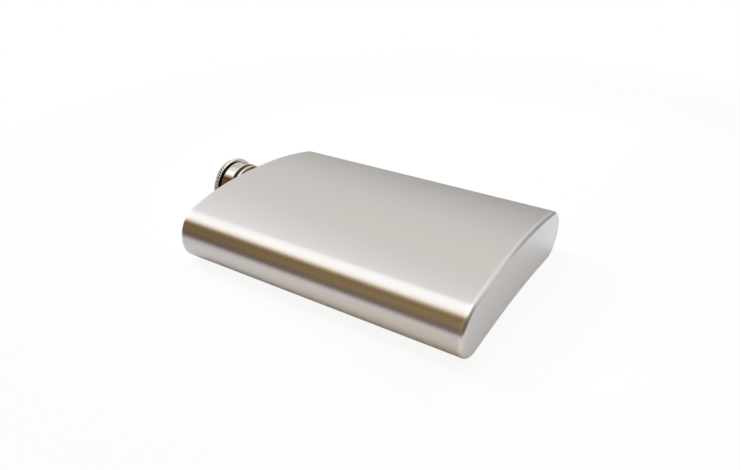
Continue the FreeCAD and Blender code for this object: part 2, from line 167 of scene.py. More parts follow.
def kidney_ring(bm, inset, along):
    """One closed ring round the body's section, inset from its outside, at x = along(y)."""
    y = HALF_WIDTH - SIDE_RADIUS
    z = SIDE_RADIUS
    front_z = z - math.sqrt((FRONT_RADIUS - SIDE_RADIUS) ** 2 - y ** 2)
    back_z = z - math.sqrt((BACK_RADIUS + SIDE_RADIUS) ** 2 - y ** 2)
    front_turn = math.atan2(y, z - front_z)
    back_turn = math.atan2(y, z - back_z)
    lower_turn = math.pi / 2 + back_turn
    upper_turn = math.pi / 2 - front_turn
    layers = {name: bm.verts.layers.float.new(name)
              for name in ("out_y", "out_z", "girth", "path", "worn")}
    tip = bm.verts.new((0, 0, back_z + BACK_RADIUS))
    tip[layers["out_z"]] = -1
    arcs = [(0, back_z, -back_turn, FACE_STEPS // 2), (y, z, lower_turn, SIDE_STEPS),
            (y, z, upper_turn, SIDE_STEPS), (0, front_z, 2 * front_turn, FACE_STEPS),
            (-y, z, upper_turn, SIDE_STEPS), (-y, z, lower_turn, SIDE_STEPS),
            (0, back_z, -back_turn, FACE_STEPS // 2)]
    ring = [tip]
    for centre_y, centre_z, angle, steps in arcs:
        centre = Vector((0, centre_y, centre_z))
        spun = bmesh.ops.spin(bm, geom=[tip], cent=centre, axis=(1, 0, 0),
                              angle=angle, steps=steps)
        tip = last_vert(spun)
        bm.verts.ensure_lookup_table()
        for vert in bm.verts[len(ring):]:
            outward = (vert.co - centre).normalized() * math.copysign(1, angle)
            step = (vert.co - ring[-1].co).length
            vert[layers["out_y"]], vert[layers["out_z"]] = outward.y, outward.z
            vert[layers["girth"]] = ring[-1][layers["girth"]] + step
            ring.append(vert)
    bmesh.ops.pointmerge(bm, verts=[ring[0], ring[-1]], merge_co=ring[0].co)
    for vert in ring[:-1]:
        y = vert.co.y - vert[layers["out_y"]] * inset
        vert.co = along(y), y, vert.co.z - vert[layers["out_z"]] * inset
    return list(bm.edges)


def grow(bm, edges, place):
    """Extrude a ring's edges, and move each new vertex to place(vertex)."""
    made = set(bmesh.ops.extrude_edge_only(bm, edges=edges)["geom"])
    for item in made:
        if isinstance(item, bmesh.types.BMVert):
            item.co = place(item)
    return [item for item in made if isinstance(item, bmesh.types.BMEdge)
            and item.verts[0] in made and item.verts[1] in made]


def shift_ring(bm, edges, inset, along):
    """Grow a ring inward by inset, to x = along(y)."""
    out_y, out_z = bm.verts.layers.float["out_y"], bm.verts.layers.float["out_z"]

    def place(vert):
        y = vert.co.y - vert[out_y] * inset
        return along(y), y, vert.co.z - vert[out_z] * inset

    return grow(bm, edges, place)


def sheet_skin(places, closed):
    """Skin through rings given as (inset, along, path, worn). Returns the mesh and last ring.

    Where path is None, a vertex's own x stands for it.
    """
    bm = bmesh.new()
    last_inset = 0
    edges = None
    for inset, along, path, worn in places + (places[:1] if closed else []):
        if edges is None:
            edges = kidney_ring(bm, inset, along)
        else:
            edges = shift_ring(bm, edges, inset - last_inset, along)
        last_inset = inset
        for vert in {vert for edge in edges for vert in edge.verts}:
            vert[bm.verts.layers.float["path"]] = vert.co.x if path is None else path
            vert[bm.verts.layers.float["worn"]] = worn
    return bm, edges


def fill_end(bm, edges):
    """Close a ring with strips that run from the back of the section to its front."""
    ring = {vert for edge in edges for vert in edge.verts}
    widest = max(vert.co.y for vert in ring) - SAME_PLACE
    inner = [edge for edge in edges if all(abs(vert.co.y) < widest for vert in edge.verts)]
    bmesh.ops.bridge_loops(bm, edges=inner)
    tips = [edge for edge in bm.edges if edge.is_boundary and set(edge.verts) & ring]
    bmesh.ops.holes_fill(bm, edges=tips, sides=4)


def lay_grain(bm):
    """UV map of the sheet: u runs across the brushing, v runs along it."""
    grain = bm.loops.layers.uv.new("grain")
    girth = bm.verts.layers.float["girth"]
    path = bm.verts.layers.float["path"]
    # The way round is one step longer than the girth of the last vertex
    whole = max(vert[girth] for vert in bm.verts)
    whole += whole / len({vert[girth] for vert in bm.verts})
    for face in bm.faces:
        flat_end = abs(face.normal.x) > FLAT_END
        seam = max(loop.vert[girth] for loop in face.loops) > whole / 2
        for loop in face.loops:
            u, v = loop.vert[path], loop.vert[girth]
            if seam and v < whole / 4:
                v += whole
            if flat_end:
                u, v = loop.vert.co.z, loop.vert.co.y
            loop[grain].uv = (u * UV_PER_METRE, v * UV_PER_METRE)


def last_vert(spun):
    """The vertex that a spin of one vertex ended on."""
    return next(item for item in spun["geom_last"] if isinstance(item, bmesh.types.BMVert))


def wear_edges(bm):
    """Mark the vertices along outward edges, where handling has rubbed the finish."""
    worn = bm.verts.layers.float.new("worn")
    for edge in bm.edges:
        if edge.is_manifold and edge.calc_face_angle_signed() > WEAR_ANGLE:
            for vert in edge.verts:
                vert[worn] = 1


def finish_piece(name, bm, body, slot, material, *nodes):
    """Turn a mesh into a piece that rides on its body and stands for its CAD nodes."""
    if "worn" not in bm.verts.layers.float:
        wear_edges(bm)
    for face in bm.faces:
        face.smooth = True
    for edge in bm.edges:
        edge.smooth = edge.calc_face_angle(0) < SHARP
    piece = link_new(name, keep_mesh(name, bm))
    piece.data.materials.append(material)
    weighted = piece.modifiers.new("flat_faces_stay_flat", "WEIGHTED_NORMAL")
    weighted.keep_sharp = True
    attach(piece, body)
    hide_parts(*nodes)
    return piece


def shoulder_line(y):
    """How far the shoulder has fallen from its flat, at a distance from the middle."""
    over = max(abs(y) - SHOULDER_FLAT, 0)
    return SHOULDER_RADIUS - math.sqrt(SHOULDER_RADIUS ** 2 - over ** 2)


def make_wrap(material):
    """The bent sheet, from the base seam to the shoulder seam."""

    def at_base(step):
        return lambda y: BASE_SEAM - step

    def at_shoulder(step):
        return lambda y: SHOULDER_SEAM + shoulder_line(y) + step

    bm, edges = sheet_skin([
        (0, at_base(SEAM_BREAK), None, 1), (0, at_base(WORN_WIDTH), None, 0),
        (0, at_shoulder(WORN_WIDTH), None, 0), (0, at_shoulder(SEAM_BREAK), None, 1),
        (SEAM_BREAK, at_shoulder(0), None, 1), (WRAP_WALL, at_shoulder(0), None, 0),
        (WRAP_WALL, at_base(0), None, 0), (SEAM_BREAK, at_base(0), None, 1)], closed=True)
    bmesh.ops.remove_doubles(bm, verts=bm.verts, dist=SAME_PLACE)
    bmesh.ops.recalc_face_normals(bm, faces=bm.faces)
    lay_grain(bm)
    return finish_piece("steel_wrap", bm, "flask", "body_steel", material, "body_wrap")


def make_tray(name, node, material, rim, seam_at, face_x):
    """A pressed end plate: a lip at the seam, a rounded edge, and a face with its middle at
    face_x."""
    out = math.copysign(1, face_x - seam_at(0))

    def at(depth):
        return lambda y: seam_at(y) + out * depth

    lip = abs(face_x - seam_at(0)) - rim
    inner_rim = rim - PLATE_WALL
    turns = [math.pi / 2 * step / RIM_STEPS for step in range(RIM_STEPS + 1)]
    inside = [(rim - inner_rim * math.cos(turn), at(lip + inner_rim * math.sin(turn)), 0, 0)
              for turn in reversed(turns)]
    seam = [(PLATE_WALL, at(0), 0, 0), (SEAM_BREAK, at(0), 0, 1), (0, at(SEAM_BREAK), 0, 1)]
    outside = [(rim * (1 - math.cos(turn)), at(lip + rim * math.sin(turn)),
                lip + rim * turn, 1) for turn in turns]
    face = [(rim + WORN_WIDTH, at(lip + rim), lip + rim * math.pi / 2 + WORN_WIDTH, 0)]
    bm, edges = sheet_skin(inside + seam + outside + face, closed=False)
    fill_end(bm, edges)
    fill_end(bm, [edge for edge in bm.edges if edge.is_boundary])
    bmesh.ops.recalc_face_normals(bm, faces=bm.faces)
    lay_grain(bm)
    return finish_piece(name, bm, "flask", "body_steel", material, node)


def cut_neck_hole(plate, radius):
    """Cut the round hole for the neck out of the shoulder plate."""
    bm = bmesh.new()
    turn = Matrix.Translation((SHOULDER_X, 0, AXIS_Z)) @ Matrix.Rotation(math.pi / 2, 4, "Y")
    bmesh.ops.create_cone(bm, cap_ends=True, segments=TURN_STEPS, radius1=radius,
                          radius2=radius, depth=CUTTER_DEPTH, matrix=turn)
    cutter = link_new("neck_hole_cutter", keep_mesh("neck_hole_cutter", bm))
    cut = plate.modifiers.new("neck_hole", "BOOLEAN")
    cut.object = cutter
    cut.solver = "EXACT"
    # The cut comes before the weighted normals, which stay live and aren't baked in with it
    plate.modifiers.move(1, 0)
    weighted = plate.modifiers["flat_faces_stay_flat"]
    weighted.show_viewport = False
    graph = bpy.context.evaluated_depsgraph_get()
    plate.data = bpy.data.meshes.new_from_object(plate.evaluated_get(graph), depsgraph=graph)
    weighted.show_viewport = True
    plate.modifiers.remove(cut)
    bpy.data.objects.remove(cutter)


# ---------------------------------------------------------------- turned shapes


def turned(bm, start, moves, closed=True, steps=TURN_STEPS):
    """Draw a profile with lines and arcs, then turn it about the neck's axis.

    Places are (x, radius). A move is a place, or (centre x, centre radius, degrees, steps).
    Long lines get a ring near each end, where the wear of their edges fades out.
    """
    tip = bm.verts.new((start[0], 0, AXIS_Z + start[1]))
    begun = len(bm.verts) - 1
    for move in moves + ([start] if closed else []):
        if len(move) == 2:
            begin, end = tip.co.copy(), Vector((move[0], 0, AXIS_Z + move[1]))
            fade = WEAR_REACH / (end - begin).length
            for share in ([fade, 1 - fade] if fade < 0.5 else []) + [1]:
                vert = bm.verts.new(begin.lerp(end, share))
                bm.edges.new((tip, vert))
                tip = vert
        else:
            x, radius, degrees, arc_steps = move
            centre = (x, 0, AXIS_Z + radius)
            tip = last_vert(bmesh.ops.spin(bm, geom=[tip], cent=centre, axis=(0, 1, 0),
                                           angle=math.radians(degrees), steps=arc_steps))
    bm.verts.ensure_lookup_table()
    profile = bm.verts[begun:]
    edges = list({edge for vert in profile for edge in vert.link_edges})
    bmesh.ops.spin(bm, geom=list(profile) + edges, cent=(0, 0, AXIS_Z), axis=(1, 0, 0),
                   angle=math.tau, steps=steps, use_merge=True)
    bmesh.ops.remove_doubles(bm, verts=bm.verts, dist=SAME_PLACE)
    bmesh.ops.recalc_face_normals(bm, faces=bm.faces)


def wind_thread(bm, start, root, crest, turns):
    """One ridge wound about the neck's axis, away from the shoulder."""
    steps = int(turns * THREAD_STEPS)
    half_base, half_crest = THREAD_BASE / 2, THREAD_CREST / 2
    corners = [(start - half_base, root), (start + half_base, root),
               (start + half_crest, crest), (start - half_crest, crest)]
    verts = [bm.verts.new((x, 0, AXIS_Z + radius)) for x, radius in corners]
    face = bm.faces.new(verts)
    bmesh.ops.spin(bm, geom=[face] + verts + list(face.edges), cent=(0, 0, AXIS_Z),
                   axis=(-1, 0, 0), dvec=(-THREAD_PITCH * turns / steps, 0, 0),
                   angle=math.tau * turns, steps=steps)


def make_neck(material):
    """Threaded spout with its flange under the shoulder plate."""
    flange_end = SHOULDER_X + PLATE_WALL
    inner_end = flange_end + FLANGE_WALL
    mouth, root = NECK_MOUTH, NECK_ROOT
    bore = root - NECK_WALL
    flange = root + FLANGE_WIDTH
    r = MOUTH_ROUND
    bm = bmesh.new()
    wind_thread(bm, SHOULDER_X - THREAD_START, root - THREAD_SINK, root + THREAD_DEPTH,
                THREAD_TURNS)
    turned(bm, (inner_end, bore), [
        (inner_end, flange), (flange_end + FLANGE_BEVEL, flange),
        (flange_end, flange - FLANGE_BEVEL), (flange_end, root), (mouth + r, root),
        (mouth + r, root - r, -90, MOUTH_STEPS), (mouth, bore + r),
        (mouth + r, bore + r, -90, MOUTH_STEPS)])
    return finish_piece("threaded_spout", bm, "flask", "neck_steel", material, "neck")


def make_collar(material):
    """Turned collar at the foot of the neck: a foot on the shoulder and a wider ring."""
    radius = reach(COLLAR_LOW, COLLAR_HIGH)
    bore = NECK_ROOT + FIT_GAP
    under, top = COLLAR_HIGH.x - FOOT_HEIGHT, COLLAR_LOW.x
    r = RING_ROUND
    bm = bmesh.new()
    turned(bm, (COLLAR_HIGH.x, bore), [
        (COLLAR_HIGH.x, FOOT_RADIUS), (under, FOOT_RADIUS), (under, radius - r),
        (under - r, radius - r, -90, EDGE_STEPS), (top + r, radius),
        (top + r, radius - r, -90, EDGE_STEPS), (top, bore)])
    return finish_piece("spout_collar", bm, "flask", "neck_steel", material, "neck_collar")


def make_cup(material):
    """Polished cup of the cap, with rounded edges and a closed end."""
    skirt, end = CUP_HIGH.x, CUP_LOW.x
    radius = reach(CUP_LOW, CUP_HIGH)
    bore = radius - BARREL_WALL
    hole = RIVET_RADIUS + FIT_GAP
    r = BARREL_ROUND
    bm = bmesh.new()
    turned(bm, (skirt, bore), [
        (skirt, radius - r), (skirt - r, radius - r, -90, EDGE_STEPS), (end + r, radius),
        (end + r, radius - r, -90, EDGE_STEPS), (end, hole), (end + BARREL_WALL, hole),
        (end + BARREL_WALL, bore)])
    return finish_piece("cap_cup", bm, "cap", "cap_steel", material, "cap_barrel")


def make_washer(material):
    """Washer at the bottom of the groove, near black as painted shade for the groove."""
    radius = reach(WASHER_LOW, WASHER_HIGH)
    hole = RIVET_RADIUS + FIT_GAP
    bm = bmesh.new()
    turned(bm, (WASHER_HIGH.x, hole), [
        (WASHER_HIGH.x, radius), (WASHER_LOW.x, radius), (WASHER_LOW.x, hole)])
    return finish_piece("groove_washer", bm, "cap", "spacer_plastic", material, "cap_spacer")


def make_rivet(material):
    """Rivet through disc, washer and cup, with a faintly domed head."""
    head = reach(RIVET_LOW, RIVET_HIGH)
    outer, inner = RIVET_LOW.x, RIVET_HIGH.x
    bm = bmesh.new()
    turned(bm, (inner, 0), [
        (inner, RIVET_TAIL_RADIUS), (inner - RIVET_TAIL, RIVET_TAIL_RADIUS),
        (inner - RIVET_TAIL, RIVET_RADIUS), (outer + RIVET_HEAD, RIVET_RADIUS),
        (outer + RIVET_HEAD, head), (outer + RIVET_DOME, head),
        (outer + RIVET_DOME / 4, head / 2), (outer, 0)], closed=False, steps=RIVET_STEPS)
    return finish_piece("rivet_stud", bm, "cap", "cap_steel", material, "cap_rivet")


def make_disc(material):
    """Coin-shaped grip with a diamond knurl round it and a recess for the rivet's head."""
    radius = reach(DISC_LOW, DISC_HIGH)
    outer, inner = DISC_LOW.x, DISC_HIGH.x
    recess = reach(RIVET_LOW, RIVET_HIGH) + FIT_GAP
    hole = RIVET_RADIUS + FIT_GAP
    belt = inner - DISC_CHAMFER
    rise = (outer + DISC_CHAMFER - belt) / KNURL_SAMPLES
    bm = bmesh.new()
    pit = bm.verts.layers.float.new("pit")
    crown = [(belt + rise * step, radius - KNURL_CROWN * (2 * step / KNURL_SAMPLES - 1) ** 2)
             for step in range(KNURL_SAMPLES + 1)]
    turned(bm, (inner, hole), [
        (inner, radius - DISC_CHAMFER), *crown, (outer, radius - DISC_CHAMFER),
        (outer, recess), (outer + RIVET_HEAD, recess), (outer + RIVET_HEAD, hole)],
        steps=KNURL_COUNT * KNURL_SAMPLES)
    # Two sets of crossing grooves leave diamonds with flattened tips
    for vert in bm.verts:
        outward = (vert.co - Vector((0, 0, AXIS_Z))) * Vector((0, 1, 1))
        if outward.length < radius - DISC_CHAMFER / 2:
            continue
        turn = math.atan2(outward.y, outward.z) / math.tau * KNURL_COUNT
        along = (vert.co.x - (inner + outer) / 2) / KNURL_PITCH
        crossing = [abs(2 * (part - round(part))) for part in (turn + along, turn - along)]
        vert[pit] = 1 - min(1, KNURL_LAND * min(crossing))
        vert.co -= outward.normalized() * KNURL_DEPTH * vert[pit]
    bmesh.ops.recalc_face_normals(bm, faces=bm.faces)
    return finish_piece("knurled_grip", bm, "cap", "cap_steel", material, "cap_disc")


# ---------------------------------------------------------------- materials


def linear(hex_colour):
    """An sRGB hex value as the linear colour that a node takes."""
    parts = [int(hex_colour[i:i + 2], 16) / 255 for i in (1, 3, 5)]
    return [part / 12.92 if part <= 0.04045 else ((part + 0.055) / 1.055) ** 2.4
            for part in parts] + [1.0]


def add_node(tree, kind, inputs=None, **settings):
    """Add a node, set its properties, and set or link its inputs by name or number."""
    node = tree.nodes.new("ShaderNode" + kind)
    for name, value in settings.items():
        setattr(node, name, value)
    for key, value in (inputs or {}).items():
        if isinstance(value, bpy.types.NodeSocket):
            tree.links.new(value, node.inputs[key])
        else:
            node.inputs[key].default_value = value
    return node


def new_material(name):
    """An empty material, and its tree."""
    material = bpy.data.materials.new(name)
    material.use_nodes = True
    material.node_tree.nodes.clear()
    return material, material.node_tree


# Noise lies mostly between these two values
NOISE_SPAN = {"From Min": 0.3, "From Max": 0.7}


def brushed_sheet(tree, grit, height, dark, light, roughness, smudge_size, spread, relief):
    """What both brushed sheets share: grit lines that show in colour and gloss, smudges from
    handling, edges rubbed smoother, and reflections spread across the brushing."""
    place = add_node(tree, "TexCoord").outputs["Object"]
    colour = add_node(tree, "Mix", {0: grit, 6: linear(dark), 7: linear(light)},
                      data_type="RGBA")
    rough = add_node(tree, "MapRange", {"Value": grit, **NOISE_SPAN,
                                        "To Min": roughness - 0.02,
                                        "To Max": roughness + 0.02})
    smudge = add_node(tree, "TexNoise", {"Vector": place, "Scale": 1 / smudge_size,
                                         "Detail": 3})
    rough = add_node(tree, "Math", {0: smudge.outputs[0], 1: 0.04, 2: rough.outputs[0]},
                     operation="MULTIPLY_ADD")
    worn = add_node(tree, "Attribute", attribute_name="worn")
    rough = add_node(tree, "Math", {0: worn.outputs["Fac"], 1: -0.03, 2: rough.outputs[0]},
                     operation="MULTIPLY_ADD")
    bump = add_node(tree, "Bump", {"Height": height, "Strength": relief,
                                   "Distance": 0.02 * MM})
    tangent = add_node(tree, "Tangent", direction_type="UV_MAP", uv_map="grain")
    shader = add_node(tree, "BsdfPrincipled", {
        "Base Color": colour.outputs[2], "Metallic": 1.0, "Roughness": rough.outputs[0],
        "Anisotropic": spread, "Normal": bump.outputs[0], "Tangent": tangent.outputs[0]})
    add_node(tree, "OutputMaterial", {"Surface": shader.outputs[0]})


def brushed_steel():
    """Stainless sheet, brushed round the section with a belt: reflections stay crisp round
    the section and smear along the flask, and faint grit lines run round it."""
    material, tree = new_material("stainless_304_belt_brushed")
    place = add_node(tree, "TexCoord").outputs["Object"]
    # Grit lines a quarter of a millimetre apart, far coarser than real ones so that they show
    fine = add_node(tree, "Mapping", {"Vector": place,
                                      "Scale": (4 / MM, 0.06 / MM, 0.06 / MM)})
    grit = add_node(tree, "TexNoise", {"Vector": fine.outputs[0], "Scale": 1, "Detail": 3})
    # Deeper strokes of the belt, about a millimetre apart and 70 mm long
    coarse = add_node(tree, "Mapping", {"Vector": place,
                                        "Scale": (0.9 / MM, 0.014 / MM, 0.014 / MM)})
    lines = add_node(tree, "TexNoise", {"Vector": coarse.outputs[0], "Scale": 1, "Detail": 4})
    height = add_node(tree, "Math", {0: lines.outputs[0], 1: 0.5, 2: grit.outputs[0]},
                      operation="MULTIPLY_ADD")
    brushed_sheet(tree, grit.outputs[0], height.outputs[0], "#C9C8C6", "#D1D0CE",
                  roughness=0.31, smudge_size=40 * MM, spread=0.88, relief=0.12)
    return material


def pressed_steel():
    """Stainless end plate, satin brushed from side to side and round its edge after pressing:
    a softer sheen than the wrap's, that smears through the plate's thickness."""
    material, tree = new_material("stainless_304_pressed_satin")
    grain = add_node(tree, "UVMap", uv_map="grain").outputs[0]
    # The wrap's grit lines, laid out in the sheet's own UV map
    fine = add_node(tree, "Mapping", {
        "Vector": grain, "Scale": (4 / MM / UV_PER_METRE, 0.06 / MM / UV_PER_METRE, 1)})
    grit = add_node(tree, "TexNoise", {"Vector": fine.outputs[0], "Scale": 1, "Detail": 3})
    brushed_sheet(tree, grit.outputs[0], grit.outputs[0], "#D2D3D5", "#DADBDD",
                  roughness=0.33, smudge_size=25 * MM, spread=0.7, relief=0.1)
    return material


def rubbed_edges(tree, place):
    """How much handling has rubbed an edge, in patches a millimetre or two long."""
    patches = add_node(tree, "TexNoise", {"Vector": place, "Scale": 0.6 / MM, "Detail": 2})
    worn = add_node(tree, "Attribute", attribute_name="worn")
    return add_node(tree, "Math", {0: worn.outputs["Fac"], 1: patches.outputs[0]},
                    operation="MULTIPLY").outputs[0]


def polished_metal(name, dark, light):
    """Metal buffed to a mirror, with the haze and hairlines of a used cap."""
    material, tree = new_material(name)
    place = add_node(tree, "TexCoord").outputs["Object"]
    # Hairlines left by buffing round the axis, a tenth of a millimetre apart: coarser than
    # real ones so that they show
    turned_lines = add_node(tree, "Mapping", {"Vector": place,
                                              "Scale": (9 / MM, 0.25 / MM, 0.25 / MM)})
    hair = add_node(tree, "TexNoise", {"Vector": turned_lines.outputs[0], "Scale": 1,
                                       "Detail": 2})
    # Haze in clouds of 5 or 6 mm
    haze = add_node(tree, "TexNoise", {"Vector": place, "Scale": 0.18 / MM, "Detail": 4})
    colour = add_node(tree, "Mix", {0: haze.outputs[0], 6: linear(dark), 7: linear(light)},
                      data_type="RGBA")
    # Edges are rubbed paler and duller
    rubbed = rubbed_edges(tree, place)
    colour = add_node(tree, "Mix", {0: rubbed, 6: colour.outputs[2], 7: linear("#EFECE8")},
                      data_type="RGBA")
    # Painted shade darkens and dulls the knurl's grooves, most on the near side, toward -Y
    pit = add_node(tree, "Attribute", attribute_name="pit")
    across = add_node(tree, "SeparateXYZ", {0: place}).outputs[1]
    side = add_node(tree, "MapRange", {"Value": across, "From Min": -3 * MM,
                                       "From Max": -9 * MM, "To Min": 0.15, "To Max": 1.0})
    groove_shade = add_node(tree, "MapRange", {"Value": pit.outputs["Fac"], "From Min": 0.3,
                                       "From Max": 0.7, "To Max": side.outputs[0]}).outputs[0]
    colour = add_node(tree, "Mix", {0: groove_shade, 6: colour.outputs[2], 7: linear("#1C150E")},
                      data_type="RGBA")
    rough = add_node(tree, "MapRange", {"Value": haze.outputs[0], **NOISE_SPAN,
                                        "To Min": 0.05, "To Max": 0.11})
    rough = add_node(tree, "Math", {0: groove_shade, 1: 0.4, 2: rough.outputs[0]},
                     operation="MULTIPLY_ADD")
    rough = add_node(tree, "Math", {0: rubbed, 1: 0.12, 2: rough.outputs[0]},
                     operation="MULTIPLY_ADD")
    bump = add_node(tree, "Bump", {"Height": hair.outputs[0], "Strength": 0.05,
                                   "Distance": 0.01 * MM})
    shader = add_node(tree, "BsdfPrincipled", {
        "Base Color": colour.outputs[2], "Metallic": 1.0, "Roughness": rough.outputs[0],
        "Normal": bump.outputs[0]})
    add_node(tree, "OutputMaterial", {"Surface": shader.outputs[0]})
    return material


def turned_steel():
    """Stainless neck, turned on a lathe: fine rings and a soft shine."""
    material, tree = new_material("stainless_304_turned")
    place = add_node(tree, "TexCoord").outputs["Object"]
    # Rings left by the lathe's feed, a sixth of a millimetre apart
    rings = add_node(tree, "Mapping", {"Vector": place,
                                       "Scale": (6 / MM, 0.12 / MM, 0.12 / MM)})
    marks = add_node(tree, "TexNoise", {"Vector": rings.outputs[0], "Scale": 1, "Detail": 2})
    colour = add_node(tree, "Mix", {0: marks.outputs[0], 6: linear("#BCB3A8"),
                                    7: linear("#CAC1B6")}, data_type="RGBA")
    # Thread and edges are rubbed bright by the cap
    rubbed = rubbed_edges(tree, place)
    colour = add_node(tree, "Mix", {0: rubbed, 6: colour.outputs[2], 7: linear("#E6E0D8")},
                      data_type="RGBA")
    rough = add_node(tree, "MapRange", {"Value": marks.outputs[0], **NOISE_SPAN,
                                        "To Min": 0.2, "To Max": 0.3})
    rough = add_node(tree, "Math", {0: rubbed, 1: -0.1, 2: rough.outputs[0]},
                     operation="MULTIPLY_ADD")
    bump = add_node(tree, "Bump", {"Height": marks.outputs[0], "Strength": 0.2,
                                   "Distance": 0.02 * MM})
    shader = add_node(tree, "BsdfPrincipled", {
        "Base Color": colour.outputs[2], "Metallic": 1.0, "Roughness": rough.outputs[0],
        "Normal": bump.outputs[0]})
    add_node(tree, "OutputMaterial", {"Surface": shader.outputs[0]})
    return material


def plastic(name, dark, light, roughness, ior, grain_size, transmission=0.0, shine=0.5):
    """Moulded plastic or rubber: a fine orange-peel skin over an even colour, and edges
    rubbed paler."""
    material, tree = new_material(name)
    place = add_node(tree, "TexCoord").outputs["Object"]
    skin = add_node(tree, "TexNoise", {"Vector": place, "Scale": 1 / grain_size, "Detail": 3})
    colour = add_node(tree, "Mix", {0: skin.outputs[0], 6: linear(dark), 7: linear(light)},
                      data_type="RGBA")
    # Within a tenth of a millimetre of an edge the skin is rubbed paler and smoother
    true_normal = add_node(tree, "NewGeometry").outputs["True Normal"]
    softened = add_node(tree, "Bevel", {"Radius": 0.1 * MM}, samples=4).outputs[0]
    flat = add_node(tree, "VectorMath", {0: softened, 1: true_normal},
                    operation="DOT_PRODUCT")
    rubbed = add_node(tree, "MapRange", {"Value": flat.outputs["Value"], "From Min": 0.99,
                                         "From Max": 0.8, "To Max": 0.25}).outputs[0]
    colour = add_node(tree, "Mix", {0: rubbed, 6: colour.outputs[2], 7: linear("#A8A49C")},
                      data_type="RGBA")
    rough = add_node(tree, "MapRange", {"Value": skin.outputs[0], **NOISE_SPAN,
                                        "To Min": roughness - 0.05,
                                        "To Max": roughness + 0.05})
    rough = add_node(tree, "Math", {0: rubbed, 1: -0.4, 2: rough.outputs[0]},
                     operation="MULTIPLY_ADD")
    bump = add_node(tree, "Bump", {"Height": skin.outputs[0], "Strength": 0.2,
                                   "Distance": 0.03 * MM})
    shader = add_node(tree, "BsdfPrincipled", {
        "Base Color": colour.outputs[2], "Roughness": rough.outputs[0], "IOR": ior,
        "Transmission Weight": transmission, "Specular IOR Level": shine,
        "Normal": bump.outputs[0]})
    add_node(tree, "OutputMaterial", {"Surface": shader.outputs[0]})
    return material


# ---------------------------------------------------------------- the object

wrap_steel = brushed_steel()
plate_steel = pressed_steel()
neck_steel = turned_steel()

# Buffed stainless mirrors the room in sharp bands, and the plated knurl is a paler silver
cap_steel = polished_metal("stainless_304_mirror_polished", "#BDB9B5", "#C7C4C0")
grip_steel = polished_metal("nickel_plated_knurl", "#DAD8D4", "#E5E3E0")

# Nylon is near black with a soft sheen, and its washer stands in as painted shade in the
# groove;
# the liner's dark brown is a painted reflection of the brown wall and painted shade in the
# gap under the cup; and the clear washer is milky and lets some light through
nylon = plastic("nylon_66_black_moulded", "#070707", "#121110", 0.5, 1.53, 0.4 * MM)
# The liner's dark brown is a painted reflection of the brown wall and painted shade under the
# cup
liner_plastic = plastic("polypropylene_black_moulded", "#3C2A10", "#483416", 0.5, 1.49,
                        2 / 3 * MM, shine=0.2)
silicone = plastic("silicone_washer_clear", "#CFCFC8", "#DEDED8", 0.45, 1.41, 5 / 6 * MM, 0.3)

make_wrap(wrap_steel)
make_tray("base_tray", "base_plate", plate_steel, BASE_RIM, lambda y: BASE_SEAM, BASE_X)
shoulder_tray = make_tray("shoulder_tray", "shoulder_plate", plate_steel, SHOULDER_RIM,
                          lambda y: SHOULDER_SEAM + shoulder_line(y), SHOULDER_X)
cut_neck_hole(shoulder_tray, NECK_ROOT + FIT_GAP)
make_neck(neck_steel)
make_collar(neck_steel)
make_cup(cap_steel)
make_washer(nylon)
make_rivet(cap_steel)
make_disc(grip_steel)
for node, material in (("cap_liner", liner_plastic), ("cap_seal", silicone)):
    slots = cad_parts[node].data.materials
    slots.clear()
    slots.append(material)

# ---------------------------------------------------------------- studio

DOME_RADIUS = 1.5
DOME_SEGMENTS = 64
FLOOR_RADIUS = 3.0
FLOOR_SEGMENTS = 96

# The paper's middle, where it starts to give way to the table, and where it has
PAPER_MIDDLE = (15 * MM, 90 * MM, 0)
PAPER_REACH = 150 * MM
TABLE_REACH = 310 * MM

# Strips, as a middle and two distances from it where the strip has ended and is whole: the
# paper that is painted warm as bounce light from the brown wall, along Y, and the dome that
# the cap mirrors, by the X part of a direction
PAINTED_BOUNCE_STRIP = (-56 * MM, 20 * MM, 8 * MM)
CAP_STRIP = (-0.665, 0.06, 0.03)

# The window's place, its side and its watts. It faces the flask.
WINDOW_PLACE = Vector((-0.95, 0, 0.75))
WINDOW_SIDE = 0.25
WINDOW_POWER = 6.5

# What the camera looks at, and how it stands to that
CAMERA_AIM = Vector((6.95 * MM, -1.78 * MM, 10.63 * MM))
CAMERA_DISTANCE = 258.98 * MM
CAMERA_AZIMUTH = math.radians(32.674)
CAMERA_ELEVATION = math.radians(28.597)
CAMERA_LENS = 30.67
CAMERA_SENSOR = 36
CAMERA_NEAR, CAMERA_FAR = 0.01, 20

# What the room shows by angle about the flask's length: 0 is the far side, 90 overhead and
# 180 the near side. Each is an angle, a colour, and how bright it is next to a white card.
ROUND = [(0, "#94897E", 1.0), (5, "#C2BDB8", 1.0), (10, "#D6D3D1", 1.0),
         (17, "#E3E1E0", 1.0), (25, "#F6F4F3", 1.0), (34, "#FFF8F4", 1.04),
         (44, "#FFF7F3", 1.06), (52, "#FFF8F5", 1.0), (60, "#FFFFFF", 1.2),
         (68, "#FFFFFF", 1.5), (76, "#FFFFFF", 1.78), (96, "#FFFFFF", 1.76),
         (104, "#FFFEFC", 1.65), (110, "#FFFAF0", 1.68), (116, "#FFF2DC", 1.5),
         (121, "#E6CDA6", 1.13), (127, "#A78860", 1.0), (133, "#9A7B55", 1.0),
         (142, "#B6976C", 1.0), (156, "#BD9E74", 1.0), (166, "#A48B6E", 1.0),
         (174, "#857668", 1.0), (180, "#7F7062", 1.0)]

# How much of that the cap's own strip keeps, by the same angle
FRAMES = [(0, "#FFFFFF", 1.0), (52, "#FFFFFF", 1.0), (60, "#E8E8E8", 1.0),
          (88, "#E4E6E8", 1.0), (94, "#F2F8FF", 1.25), (110, "#F2F8FF", 1.25),
          (118, "#D0D6D6", 1.0), (125, "#FFFFFF", 1.0), (132, "#E8E4DE", 1.0)]

